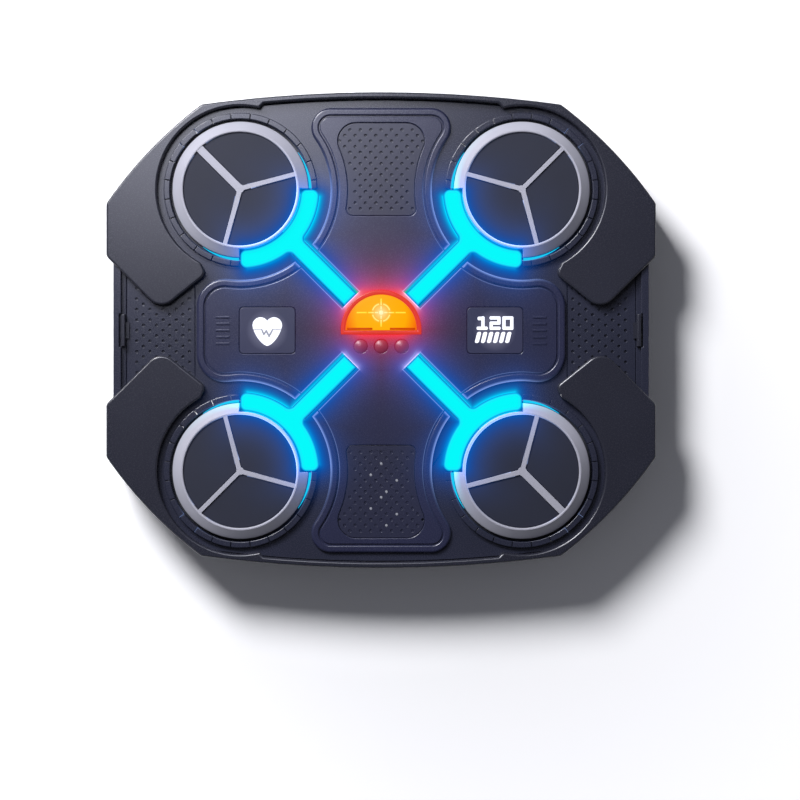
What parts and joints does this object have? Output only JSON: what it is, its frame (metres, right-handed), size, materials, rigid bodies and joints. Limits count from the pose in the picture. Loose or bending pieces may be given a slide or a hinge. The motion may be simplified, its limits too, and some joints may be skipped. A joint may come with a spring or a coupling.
{
  "type": "electronic strike pad",
  "caption": "Electronic music strike pad with sprung round pads on a crowned dark casing, glowing light guides, a target lens, display windows and push buttons.",
  "frame": {"origin": "centre of the object's box at the plane of the rubber feet", "axes": "+Z out of the face, +X to the right and +Y to the top edge, as in the picture"},
  "size_m": [0.39, 0.338, 0.0455],
  "materials": {
    "casing_abs": "fine spark texture",
    "bumper_abs": "satin moulded",
    "face_abs": "satin moulded",
    "panel_abs": "satin moulded, perforated",
    "grille_abs": "satin moulded, perforated",
    "clip_abs": "satin moulded",
    "segment_abs": "satin moulded",
    "guide_acrylic": "lit light guide",
    "board_fr4": "solder mask",
    "ring_tpu": "satin moulded",
    "face_rubber": "fine matte grain",
    "carrier_abs": "moulded",
    "foam_eva": "closed cell foam",
    "bezel_red": "lit translucent",
    "lens_amber": "lit translucent",
    "button_abs": "polished dome",
    "window_tint": "tinted satin",
    "pin_white": "lit lens",
    "speaker_paper": "paper cone, steel basket",
    "battery_wrap": "shrink wrap",
    "port_steel": "stamped",
    "screw_steel": "zinc plated",
    "foot_rubber": "moulded"
  },
  "bodies": {
    "casing": {"rear_cover": "casing_abs", "front_shell": "casing_abs", "top_bumper": "bumper_abs", "bottom_bumper": "bumper_abs", "face_plate": "face_abs", "top_panel": "panel_abs", "bottom_panel": "panel_abs", "left_grille": "grille_abs", "right_grille": "grille_abs", "left_clip": "clip_abs", "right_clip": "clip_abs", "segment_ring_tl": "segment_abs", "segment_ring_tr": "segment_abs", "segment_ring_bl": "segment_abs", "segment_ring_br": "segment_abs", "light_guide_tl": "guide_acrylic", "light_guide_tr": "guide_acrylic", "light_guide_bl": "guide_acrylic", "light_guide_br": "guide_acrylic", "led_boards": "board_fr4", "foam_ring_tl": "foam_eva", "foam_ring_tr": "foam_eva", "foam_ring_bl": "foam_eva", "foam_ring_br": "foam_eva", "impact_switches": "board_fr4", "target_bezel": "bezel_red", "target_lens": "lens_amber", "button_plate": "face_abs", "control_board": "board_fr4", "left_window": "window_tint", "right_window": "window_tint", "display_boards": "board_fr4", "pin_lights": "pin_white", "pin_light_board": "board_fr4", "left_speaker": "speaker_paper", "right_speaker": "speaker_paper", "main_board": "board_fr4", "battery_pack": "battery_wrap", "charging_port": "port_steel", "charging_board": "board_fr4", "cover_screws": "screw_steel", "bumper_screws": "screw_steel", "rubber_feet": "foot_rubber"},
    "pad_tl": {"strike_ring_tl": "ring_tpu", "strike_face_tl": "face_rubber", "pad_carrier_tl": "carrier_abs"},
    "pad_tr": {"strike_ring_tr": "ring_tpu", "strike_face_tr": "face_rubber", "pad_carrier_tr": "carrier_abs"},
    "pad_bl": {"strike_ring_bl": "ring_tpu", "strike_face_bl": "face_rubber", "pad_carrier_bl": "carrier_abs"},
    "pad_br": {"strike_ring_br": "ring_tpu", "strike_face_br": "face_rubber", "pad_carrier_br": "carrier_abs"},
    "button_left": {"button_left": "button_abs"},
    "button_middle": {"button_middle": "button_abs"},
    "button_right": {"button_right": "button_abs"}
  },
  "joints": [
    {"name": "strike_tl", "type": "slide", "parent": "casing", "child": "pad_tl", "axis": [0, 0, -1], "range_m": [0, 0.003], "stiffness_N_per_m": 3500, "springref_m": -0.0008, "deforming": ["foam_ring_tl"]},
    {"name": "strike_tr", "type": "slide", "parent": "casing", "child": "pad_tr", "axis": [0, 0, -1], "range_m": [0, 0.003], "stiffness_N_per_m": 3500, "springref_m": -0.0008, "deforming": ["foam_ring_tr"]},
    {"name": "strike_bl", "type": "slide", "parent": "casing", "child": "pad_bl", "axis": [0, 0, -1], "range_m": [0, 0.003], "stiffness_N_per_m": 3500, "springref_m": -0.0008, "deforming": ["foam_ring_bl"]},
    {"name": "strike_br", "type": "slide", "parent": "casing", "child": "pad_br", "axis": [0, 0, -1], "range_m": [0, 0.003], "stiffness_N_per_m": 3500, "springref_m": -0.0008, "deforming": ["foam_ring_br"]},
    {"name": "press_left", "type": "slide", "parent": "casing", "child": "button_left", "axis": [0, 0, -1], "range_m": [0, 0.0008], "stiffness_N_per_m": 600, "springref_m": -0.0005},
    {"name": "press_middle", "type": "slide", "parent": "casing", "child": "button_middle", "axis": [0, 0, -1], "range_m": [0, 0.0008], "stiffness_N_per_m": 600, "springref_m": -0.0005},
    {"name": "press_right", "type": "slide", "parent": "casing", "child": "button_right", "axis": [0, 0, -1], "range_m": [0, 0.0008], "stiffness_N_per_m": 600, "springref_m": -0.0005}
  ]
}
